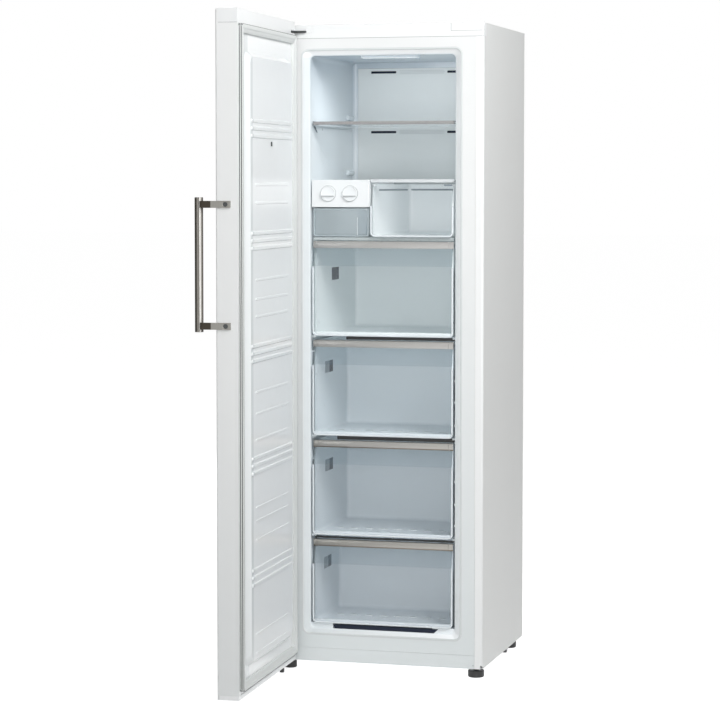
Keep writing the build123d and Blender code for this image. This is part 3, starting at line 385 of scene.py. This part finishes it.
def door_spot(x, depth, z):
    """The same for a point of the shut door, turned to where the open door holds it."""
    right, back = x - PIVOT[0], depth - PIVOT[1]
    turned_x = PIVOT[0] + right * math.cos(DOOR_OPEN) + back * math.sin(DOOR_OPEN)
    turned_depth = PIVOT[1] - right * math.sin(DOOR_OPEN) + back * math.cos(DOOR_OPEN)
    return spot(turned_x, turned_depth, z)


def unswung(place):
    """The x and z in millimetres that a point of the open door has when it is shut."""
    x, depth = place.x / MM - PIVOT[0], (place.y - FRONT_Y) / MM - PIVOT[1]
    return PIVOT[0] + x * math.cos(DOOR_OPEN) - depth * math.sin(DOOR_OPEN), place.z / MM


class Piece:
    """One mesh piece, built ring by ring in millimetres."""

    def __init__(self, name, at=spot):
        self.name = name
        self.at = at
        self.bm = bmesh.new()

    def ring(self, points):
        return [self.bm.verts.new(self.at(*point)) for point in points]

    def skin(self, rings, material=0, closed=True):
        """Faces between each ring and the next."""
        for low, high in zip(rings, rings[1:]):
            for i in range(len(low) if closed else len(low) - 1):
                j = (i + 1) % len(low)
                face = self.bm.faces.new((low[i], low[j], high[j], high[i]))
                face.material_index = material

    def cap(self, ring, material=0):
        self.bm.faces.new(ring).material_index = material

    def solid(self, rings, material=0):
        """A closed form through the rings, capped at both ends."""
        self.skin(rings, material)
        self.cap(rings[0], material)
        self.cap(rings[-1], material)

    def done(self, body, slot, materials, replaces=None, bevel=0.0):
        """Finish the piece and let it ride on a body."""
        bmesh.ops.recalc_face_normals(self.bm, faces=self.bm.faces)
        mesh = bpy.data.meshes.new(self.name)
        self.bm.to_mesh(mesh)
        self.bm.free()
        for polygon in mesh.polygons:
            polygon.use_smooth = True
        mesh.set_sharp_from_angle(angle=SHARP)
        for material in materials:
            mesh.materials.append(material)
        made = bpy.data.objects.new(self.name, mesh)
        bpy.context.scene.collection.objects.link(made)
        if bevel:
            soften(made, bevel)
        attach(made, body)
        if replaces:
            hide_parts(replaces)
        return made


def soften(made, width):
    """Round the edges by a width in millimetres."""
    modifier = made.modifiers.new("soft_edges", "BEVEL")
    modifier.width = width * MM
    modifier.segments = 2
    modifier.limit_method = "ANGLE"
    modifier.angle_limit = SHARP
    modifier.harden_normals = True


def arc(centre, radius, start, end, steps):
    """Points on an arc, by angles in degrees."""
    angles = (math.radians(start + (end - start) * i / steps) for i in range(steps + 1))
    return [(centre[0] + radius * math.cos(a), centre[1] + radius * math.sin(a)) for a in angles]


def round_rectangle(a_span, b_span, radius, steps=5):
    """A rectangle with rounded corners as points, from its lower left side round to the left."""
    (a0, a1), (b0, b1) = a_span, b_span
    return (
        arc((a0 + radius, b0 + radius), radius, 180, 270, steps)
        + arc((a1 - radius, b0 + radius), radius, 270, 360, steps)
        + arc((a1 - radius, b1 - radius), radius, 0, 90, steps)
        + arc((a0 + radius, b1 - radius), radius, 90, 180, steps)
    )


def sweep(piece, path, profile, closed=True):
    """Carry a profile of (outward, depth) points along a path of (x, z) points."""
    rings = []
    for i, (x, z) in enumerate(path):
        before = path[i - 1] if closed or i else path[i]
        after = path[(i + 1) % len(path)] if closed or i < len(path) - 1 else path[i]
        along = Vector((after[0] - before[0], after[1] - before[1])).normalized()
        rings.append(piece.ring([(x + along.y * out, depth, z - along.x * out) for out, depth in profile]))
    if closed:
        piece.skin(rings + rings[:1])
    else:
        piece.solid(rings)


def plate(piece, outline, depths):
    """A form with an outline of (x, z) points from one depth to another."""
    piece.solid([piece.ring([(x, depth, z) for x, z in outline]) for depth in depths])


def beam(piece, outline, x_span, material=0):
    """A form along X with an outline of (depth, z) points."""
    piece.solid([piece.ring([(x, depth, z) for depth, z in outline]) for x in x_span], material)


def bar(piece, x_span, depth_span, z_span, radius=0.6, material=0):
    """A bar along X with rounded edges."""
    beam(piece, round_rectangle(depth_span, z_span, radius, 2), x_span, material)


# ---------------------------------------------------------------- drawers and bins

DRAWER_WALL = 2.5
DRAWER_HALF = 206.0
DRAWER_FRONT = 10
BEAD_HALF = 207.4
STRIP_HEIGHT = 20.5
# How far below a bin's rim its front stops leaning back
LEAN_END = 18.5


def bin_levels(z_span, crease, edge, wall):
    """Heights of a bin's wall, each with how far the rounded lower edge draws it in."""
    low = z_span[0] + wall
    levels = [(low + edge - up, edge - out) for out, up in arc((0, 0), edge, 90, 0, 5)]
    return levels + [(crease - 2, 0), (crease + 2, 0), (z_span[1] - 5, 0)]


def make_bin(name, x_span, z_span, depths, crease, lean, edge, band):
    """An open bin: its clear front starts over a milky band, a painted highlight on the lower rounding, and
    leans back above a crease.
    """
    piece = Piece(name)
    wall = DRAWER_WALL
    lean_top = z_span[1] - LEAN_END

    def level(z, inset):
        front = depths[0] + lean * min(1, max(0, (z - crease) / (lean_top - crease)))
        radius = max(edge + 2 - inset, 1.5)
        outline = round_rectangle(
            (x_span[0] + inset, x_span[1] - inset), (front + inset, depths[1] - inset), radius
        )
        return piece.ring([(x, depth, z) for x, depth in outline])

    outer = [level(z, drawn) for z, drawn in bin_levels(z_span, crease, edge, 0)]
    rim = [level(z_span[1] - down, inset) for down, inset in ((4, -0.8), (0.6, -0.8), (0, 0.2), (0, wall))]
    inner = [level(z, drawn + wall) for z, drawn in bin_levels(z_span, crease, edge - wall / 2, wall)]
    rings = outer + rim + inner[::-1]
    piece.skin(rings)
    piece.cap(rings[0])
    piece.cap(rings[-1])
    half = (x_span[1] - x_span[0]) / 2
    middle = (x_span[1] + x_span[0]) / 2
    for face in piece.bm.faces:
        centre = face.calc_center_median() / MM
        beside = abs(centre.x - middle) < half - 2
        in_front = centre.y - FRONT_Y / MM < depths[0] + lean + wall + 1
        if beside and in_front and centre.z > z_span[0] + band:
            face.material_index = 2 if centre.z > crease else 1
    return piece


def make_bead(name, body, x_span, z_span, front, radius, material=highlight_plastic):
    """The rim that runs down one side of a bin's front, along the bottom and up the other; its default
    material makes it pale, as a painted highlight.
    """
    piece = Piece(name)
    (x0, x1), (z0, z1) = x_span, z_span
    path = [(x0, z1), (x0, z0 + radius)]
    path += arc((x0 + radius, z0 + radius), radius, 180, 270, 6)[1:]
    path += arc((x1 - radius, z0 + radius), radius, 270, 360, 6)
    path += [(x1, z1)]
    section = ((0, 2.5), (-5, 2.5), (-5, 0.2), (-4, -0.9), (-1.2, -0.9), (0, 0.2))
    sweep(piece, path, [(outward, front + behind) for outward, behind in section], closed=False)
    return piece.done(body, "clear_plastic", [material], bevel=0.4)


def make_window(name, body, side, depths, z_span, near_shade):
    """A dark plate set through a drawer's side wall, painted shade where the real wall has a slot onto the
    dark gap behind; its near part has a shade of its own.
    """
    piece = Piece(name)
    inner, outer = side * (DRAWER_HALF - 3.0), side * (DRAWER_HALF + 0.7)
    near, far = depths
    near_share = 0.55
    step = near + (far - near) * near_share
    for number, span in enumerate(((near, step), (step + 0.1, far))):
        beam(piece, round_rectangle(span, z_span, 1.5, 2), (inner, outer), number)
    return piece.done(body, "black_plastic", [near_shade, deep_shade], bevel=0.4)


def make_floor_pads(name, body, low, depth):
    """A row of low pads across a drawer's floor, pale as painted highlights."""
    piece = Piece(name)
    count, pitch, half_width, half_depth = 9, 44, 11, 7
    for column in range(count):
        middle = 12 + pitch * (column - count // 2)
        rings = []
        for height, inset in ((0, 0), (1.4, 0.4), (2.0, 1.6)):
            across, along = half_width - inset, half_depth - inset
            x_span, depths = (middle - across, middle + across), (depth - along, depth + along)
            outline = round_rectangle(x_span, depths, 4, 3)
            rings.append(piece.ring([(x, y, low + DRAWER_WALL - 0.3 + height) for x, y in outline]))
        piece.solid(rings)
    return piece.done(body, "clear_plastic", [highlight_plastic])


def make_strip(number, top):
    """The metal-look strip along a drawer's upper edge, with an end cap at each side."""
    piece = Piece(f"label_strip_{number}")
    low = top - STRIP_HEIGHT
    bulge = [(19.4 - 1.6 * math.sin(math.pi * i / 8), low + 1 + 17.9 * i / 8) for i in range(9)]
    outline = [(22, low), (19.8, low)] + bulge + [(20.6, top), (29, top), (29, top - 1.8), (22, top - 1.8)]
    for span in ((-207.0, -193.2), (-192.8, 192.8), (193.2, 207.0)):
        beam(piece, outline, span)
    # The lower edge of the two lowest strips is in shade
    if number > 2:
        for face in piece.bm.faces:
            centre = face.calc_center_median() / MM
            if centre.z < low + 2.5 and centre.y - FRONT_Y / MM < 22:
                face.material_index = 1
    body = f"drawer_body_{number}"
    return piece.done(body, "trim_metal", [strip_metal, strip_shade], f"drawer_strip_{number}", bevel=0.5)


# Bottom, top, crease and back of the four large drawers from the top one down, in millimetres,
# and the depths and heights of the painted shade set through their side walls
DRAWERS = (
    (969.5, 1241.0, 1168.0, 450.0, (198, 271), (1122, 1159)),
    (683.0, 957.0, 885.0, 359.0, (128, 207), (853, 887)),
    (395.4, 668.4, 598.0, 359.0, (128, 207), (564, 598.5)),
    (139.7, 381.8, 310.0, 273.0, (116, 190), (279, 313)),
)
for number, (low, top, crease, back, window, window_z) in enumerate(DRAWERS, start=1):
    body = f"drawer_body_{number}"
    x_span, depths = (-DRAWER_HALF, DRAWER_HALF), (DRAWER_FRONT, back)
    shell = make_bin(
        f"drawer_shell_{number}", x_span, (low, top - 2), depths, crease, lean=12, edge=11, band=11
    )
    # The top drawer takes the lighter, glowing copy: painted light.
    shade = upper_lit_plastic if number == 1 else drawer_plastic
    shell.done(body, "clear_plastic", [shade, front_plastic, lean_shaded_plastic], f"drawer_{number}")
    make_bead(f"drawer_bead_{number}", body, (-BEAD_HALF, BEAD_HALF), (low - 0.4, crease), DRAWER_FRONT, 13)
    for side, word in ((-1, "left"), (1, "right")):
        near_shade = deep_shade if number == 1 else catch_shade
        make_window(f"drawer_slot_shade_{number}_{word}", body, side, window, window_z, near_shade)
    make_floor_pads(f"drawer_pads_{number}", body, low, depth=150)
    make_strip(number, top)

BIN_FLOOR = 1253.5
SMALL_CREASE = 1342
SMALL_FRONT = 12
shell = make_bin(
    "small_drawer_shell", (-35, DRAWER_HALF), (BIN_FLOOR, 1403), (SMALL_FRONT, 440), SMALL_CREASE,
    lean=12, edge=12, band=5,
)
shades = [small_plastic, front_plastic, front_plastic]
shell.done("small_drawer_body", "clear_plastic", shades, "small_drawer")
make_bead("small_drawer_bead", "small_drawer_body", (-36, 207), (1253.1, SMALL_CREASE), SMALL_FRONT, 14)

ICE_BIN_X = (-207, -41)
ICE_BIN_FRONT = 20
shell = make_bin(
    "ice_bin_shell", ICE_BIN_X, (BIN_FLOOR, 1335), (ICE_BIN_FRONT, 285), 1331, lean=1, edge=8, band=4
)
shell.done("ice_bin_body", "clear_plastic", [clear_plastic, clear_plastic, clear_plastic], "ice_bin")
make_bead("ice_bin_bead", "ice_bin_body", ICE_BIN_X, (BIN_FLOOR, 1334), ICE_BIN_FRONT, 9, clear_plastic)


def make_ice_bin_facet():
    """The clear facet at the right of the ice bin's front, a rib each side of it and one along the back; the
    ribs are pale, as painted highlights.
    """
    piece = Piece("ice_bin_facet")
    for rib in ((-76.5, -74.8), (-45.8, -44.6)):
        bar(piece, rib, (20.4, 23), (1258, 1333))
    bar(piece, (-74.6, -46), (21, 22.6), (1260, 1332), material=1)
    bar(piece, (-200, -46), (278, 281.5), (1276, 1279))
    piece.done("ice_bin_body", "clear_plastic", [highlight_plastic, facet_plastic])


def make_small_drawer_rims():
    """The shades along the small drawer's sides and back, and at the right of its front's upper edge."""
    piece = Piece("small_drawer_rims")
    rim_z = (1384, 1389)
    for side in ((-34.6, -32.4), (203.4, 205.6)):
        bar(piece, side, (98, 438), rim_z)
    bar(piece, (-34, 205), (437, 440.4), rim_z)
    bar(piece, (181, 205), (10.4, 12.2), (1398, 1402.6))
    piece.done("small_drawer_body", "clear_plastic", [blue_shade])


make_ice_bin_facet()
make_small_drawer_rims()


# ---------------------------------------------------------------- the door's seal

GASKET_HALF = 283.5
GASKET_Z = (55.0, 1825.0)
# Seen in section, from the outer side round: how far inwards, and the depth
BELLOWS = (
    (0.0, -12.6), (0.2, -11.2), (3.4, -10.8), (3.4, -9.2), (0.0, -8.8), (0.0, -6.2), (3.4, -5.8),
    (3.4, -4.2), (0.0, -3.8), (0.0, -2.2), (0.7, -1.3), (2.0, -1.0), (10.0, -1.0), (12.0, -1.5),
    (13.5, -3.2), (15.0, -3.6), (22.0, -4.4), (24.0, -6.0), (24.0, -12.6),
)
# Faces whose middle lies this far inwards are shaded: two grooves, and the narrow slope at the front
SHADED = (1.0, 3.45)


def make_gasket():
    """The door's seal, with shaded grooves round its outer side."""
    piece = Piece("magnetic_seal", door_spot)
    path = round_rectangle((-GASKET_HALF, GASKET_HALF), GASKET_Z, 8)
    sweep(piece, path, [(-inward, depth) for inward, depth in BELLOWS])
    for face in piece.bm.faces:
        places = [unswung(vertex.co) for vertex in face.verts]
        inward = sum(min(GASKET_HALF - abs(x), z - GASKET_Z[0], GASKET_Z[1] - z) for x, z in places) / 4
        if SHADED[0] < inward < SHADED[1]:
            face.material_index = 1
    piece.done("door", "seal_rubber", [seal, seal_groove_shade], "door_gasket")


make_gasket()

# ---------------------------------------------------------------- small things inside the cabinet

# Heights of the air duct's rows of slots, from the top one down
DUCT_ROWS = (1740.0, 1560.0, 1400.0)
KNOB_X = {"left": -161.0, "right": -96.0}
KNOB_Z = 1376.5
LEFT_WALL_X = -213.9


def make_frame_lip():
    """The step where the liner's flange meets the painted frame, grey as painted shade."""
    piece = Piece("liner_lip")
    path = round_rectangle((-236.3, 236.3), (106.7, 1788), 22, 6)
    sweep(piece, path, [(0.6, 1.4), (0.6, -0.4), (-0.6, -0.9), (-4.5, -0.5), (-6.0, 1.0), (-6.0, 2.4)])
    piece.done("cabinet", "liner_plastic", [lip_plastic])


def make_dimples():
    """The dotted strips between the slots of the air duct, every other line set off by half a pitch; the
    dots are grey, as painted shade.
    """
    pitch = 6
    for row, z in enumerate(DUCT_ROWS, start=1):
        piece = Piece(f"duct_dimples_{row}")
        for line in range(3):
            for column in range(23):
                x = -66 + pitch * column + (line % 2) * pitch / 2
                middle = (x, z + (line - 1) * 4)
                rings = [
                    piece.ring([(a, depth, b) for a, b in arc(middle, radius, 0, 315, 7)])
                    for radius, depth in ((1.7, 465.2), (1.5, 464.4), (0.9, 463.9))
                ]
                piece.solid(rings)
        piece.done("cabinet", "duct_plastic", [dimple_shade])


def make_slot_shade():
    """Near-black plates behind the slots of the air duct's cover: painted shade for the dark duct seen
    through them.
    """
    piece = Piece("duct_shade")
    for z in DUCT_ROWS:
        for x_span in ((-163, -74), (74, 163)):
            plate(piece, round_rectangle(x_span, (z - 7, z + 7), 3, 2), (467.7, 469.0))
    piece.done("cabinet", "black_plastic", [deep_shade])


def make_runner_recess():
    """A dark plate, as painted shade for the recess between the lowest drawer's two runners, wider above
    than below.
    """
    piece = Piece("runner_recess_shade")
    plate(piece, ((-141, 122), (150, 122), (165, 136), (-147, 136)), (15.0, 17.0))
    piece.done("cabinet", "liner_plastic", [deep_shade], bevel=0.3)


def make_under_front(number, left, z_span):
    """A black plate under a drawer's front, as painted shade for the dark gap there, with two stops on it.
    """
    piece = Piece(f"drawer_shade_and_stops_{number}")
    plate(piece, round_rectangle((left, DRAWER_HALF), z_span, 1.5, 2), (31, 42))
    for middle in (13.5, 171.0):
        outline = round_rectangle((middle - 12, middle + 12), (z_span[0], z_span[0] + 6.5), 1.2, 2)
        plate(piece, outline, (29.6, 31.5))
    piece.done(f"drawer_body_{number}", "black_plastic", [black_plastic], bevel=0.3)


def make_knob_marks():
    """The shaded gap round each ice knob and the shade under its grip."""
    inner, outer = 22.4, 23.4
    for word, x in KNOB_X.items():
        piece = Piece(f"ice_knob_gap_shade_{word}")
        rings = [
            piece.ring([(a, depth, b) for a, b in arc((x, KNOB_Z), radius, 0, 350, 35)])
            for radius, depth in ((inner, 15.3), (inner, 14.7), (outer, 14.7), (outer, 15.3))
        ]
        piece.skin(rings + rings[:1])
        piece.done("cabinet", "grey_trim", [grey_and_shade])
        piece = Piece(f"ice_grip_shade_{word}")
        plate(piece, round_rectangle((x - 19, x + 19), (1367.3, 1370.5), 1.2, 2), (7.2, 8.4))
        piece.done(f"ice_twister_{word}", "grey_trim", [grey_and_shade])


def make_shelf_bracket():
    """The moulded bracket that carries the upper shelf at the left wall, dark blue-grey as painted shade,
    and its screw.
    """
    piece = Piece("shelf_bracket_left")
    corners = (
        (38, 1583.5), (38, 1580.5), (40, 1574), (76, 1552), (80, 1552), (50, 1574.5), (100, 1577.5),
        (436, 1577.5), (436, 1581),
    )
    beam(piece, corners, (LEFT_WALL_X, -211.6))
    piece.done("cabinet", "liner_plastic", [blue_shade])
    piece = Piece("shelf_screw_left")
    rings = [
        piece.ring([(x, depth, z) for depth, z in arc((134, 1562), radius, 0, 330, 11)])
        for radius, x in ((3.4, LEFT_WALL_X), (3.2, -212.6), (1.4, -212.2))
    ]
    piece.solid(rings)
    piece.done("cabinet", "liner_plastic", [grey_and_shade])


def make_side_gap():
    """Painted shade in the gap between the drawers' right sides and the liner, with the liner's pale nubs in
    it.
    """
    piece = Piece("side_gap_shade")
    for low, high in ((975, 1160), (690, 880), (402, 590), (150, 300)):
        plate(piece, round_rectangle((213.0, 213.8), (low, high), 0.3, 1), (16.5, 60))
    piece.done("cabinet", "liner_plastic", [blue_shade])
    piece = Piece("side_gap_nubs")
    for z in (847, 786, 720, 560, 495, 434):
        plate(piece, round_rectangle((210.6, 213.6), (z - 3, z + 3), 1, 2), (15.5, 24))
    piece.done("cabinet", "liner_plastic", [liner_plastic])


def make_seams():
    """The fine shaded lines where the covers of the cabinet's and the door's tops meet the rest."""
    piece = Piece("cover_seams")
    under_top = ((-297, 297), (1816.6, 1817.8))
    beside_hinge = ((202.4, 203.4), (1833, 1854.6))
    under_hinge = ((203, 297), (1832.6, 1833.6))
    for x_span, z_span in (under_top, beside_hinge, under_hinge):
        bar(piece, x_span, (-0.35, 0.6), z_span, radius=0.2)
    piece.done("cabinet", "grey_trim", [seam_shade])
    piece = Piece("door_cap_seam", door_spot)
    bar(piece, (-297.7, 297.7), (-64, -12), (1826.4, 1827.4), radius=0.2)
    piece.done("door", "grey_trim", [seam_shade])


make_frame_lip()
make_knob_marks()
make_shelf_bracket()
make_side_gap()
make_seams()
make_dimples()
make_slot_shade()
make_runner_recess()
# How far left the painted shade under each of the upper three drawers reaches, and its heights
UNDER_SHADES = ((-112, (958.5, 967)), (-139, (670, 680.5)), (-DRAWER_HALF, (383.4, 388)))
for number, (left, z_span) in enumerate(UNDER_SHADES, start=1):
    make_under_front(number, left, z_span)


# ---------------------------------------------------------------- softened edges of CAD nodes

# Vertices nearer than this are welded, so that the rounding runs on across them
WELD_REACH = 0.01
# How far the edges are rounded, and the CAD nodes that get it
SOFTENED = {
    0.9: "side_panel_left side_panel_right front_frame top_panel hinge_covers ice_maker_housing"
    " door_top_cap door_bottom_cap",
    0.6: "ice_knob_left ice_knob_right shelf_trims shelf_trim_middle shelf_retainers lamp_cover door_clip"
    " drip_tray compressor_plate hinge_bracket_bottom rear_feet handle_brackets door_liner",
}
for width, names in SOFTENED.items():
    for name in names.split():
        weld = nodes[name].modifiers.new("weld", "WELD")
        weld.merge_threshold = WELD_REACH * MM
        soften(nodes[name], width)


# ---------------------------------------------------------------- floor, light and camera


def seen_by_camera(tree):
    """1 for a ray from the camera, off gloss or through glass, and otherwise 0."""
    path = tree.nodes.new("ShaderNodeLightPath")
    seen = path.outputs["Is Camera Ray"]
    for other in ("Is Glossy Ray", "Is Transmission Ray"):
        either = tree.nodes.new("ShaderNodeMath")
        either.operation = "MAXIMUM"
        tree.links.new(seen, either.inputs[0])
        tree.links.new(path.outputs[other], either.inputs[1])
        seen = either.outputs["Value"]
    return seen


def make_world(ambient):
    """A world that is white where it is seen and lights the object by its ambient strength."""
    world = bpy.data.worlds.new("studio")
    bpy.context.scene.world = world
    world.use_nodes = True
    tree = world.node_tree
    background = tree.nodes["Background"]
    background.inputs["Color"].default_value = (1, 1, 1, 1)
    seen = seen_by_camera(tree)
    strength = tree.nodes.new("ShaderNodeMapRange")
    strength.inputs["To Min"].default_value = ambient
    strength.inputs["To Max"].default_value = 1.0
    tree.links.new(seen, strength.inputs["Value"])
    tree.links.new(strength.outputs["Result"], background.inputs["Strength"])


def make_floor(size, glow):
    """A pale floor that glows only where it is seen, off gloss and through glass too."""
    mesh = bpy.data.meshes.new("floor")
    bm = bmesh.new()
    bmesh.ops.create_grid(bm, x_segments=1, y_segments=1, size=size)
    bm.to_mesh(mesh)
    bm.free()
    floor = bpy.data.objects.new("floor", mesh)
    bpy.context.scene.collection.objects.link(floor)
    surface = Surface("pale_floor")
    surface.set(Base_Color=(0.8, 0.8, 0.8, 1), Roughness=0.9, Specular_IOR_Level=0.0)
    surface.set(Emission_Color=(1, 1, 1, 1))
    seen = seen_by_camera(surface.tree)
    strength = surface.between(seen, 0.0, glow)
    surface.link(strength, surface.shader.inputs["Emission Strength"])
    mesh.materials.append(surface.material)


def area_light(name, at, aim, size, power, in_gloss=True):
    """A rectangular lamp aimed at a point; in_gloss says whether reflections show it."""
    data = bpy.data.lights.new(name, "AREA")
    data.shape = "RECTANGLE"
    data.size, data.size_y = size
    data.energy = power
    lamp = bpy.data.objects.new(name, data)
    bpy.context.scene.collection.objects.link(lamp)
    lamp.location = at
    lamp.rotation_euler = (Vector(aim) - Vector(at)).to_track_quat("-Z", "Y").to_euler()
    lamp.visible_glossy = in_gloss


make_world(ambient=0.12)
make_floor(size=60, glow=0.9)
# Where each lamp stands, what it is aimed at, its size and its power in watts
area_light("key", (2.6, -3.1, 3.2), (0, -0.1, 1.2), (1.2, 1.2), 66)
area_light("top", (1.5, -1.6, 2.9), (-0.3, -0.5, 1.6), (1.0, 1.0), 33)
area_light("fill", (0.9, -5.2, 1.5), (0, 0, 1.2), (1.6, 1.6), 53)
area_light("ceiling_lamp", spot(7, 74, 1759), spot(7, 240, 1500), (0.15, 0.02), 0.36)
area_light("back", (-2.4, 4.4, 2.6), (0, 0, 1.0), (2.0, 2.0), 60, in_gloss=False)

# The photograph's view, worked out from the object's own edges; the angles are in degrees
CAMERA_AT = (1.8361, -7.0634, 1.4068)
CAMERA_YAW = 15.628
CAMERA_PITCH = 3.26
CAMERA_LENS = 123.838
CAMERA_SHIFT = -0.05
camera_data = bpy.data.cameras.new("camera")
camera_data.lens = CAMERA_LENS
camera_data.shift_y = CAMERA_SHIFT
camera = bpy.data.objects.new("camera", camera_data)
bpy.context.scene.collection.objects.link(camera)
camera.location = CAMERA_AT
camera.rotation_euler = (math.radians(90 - CAMERA_PITCH), 0, math.radians(CAMERA_YAW))
bpy.context.scene.camera = camera
bpy.context.scene.view_settings.view_transform = "Standard"
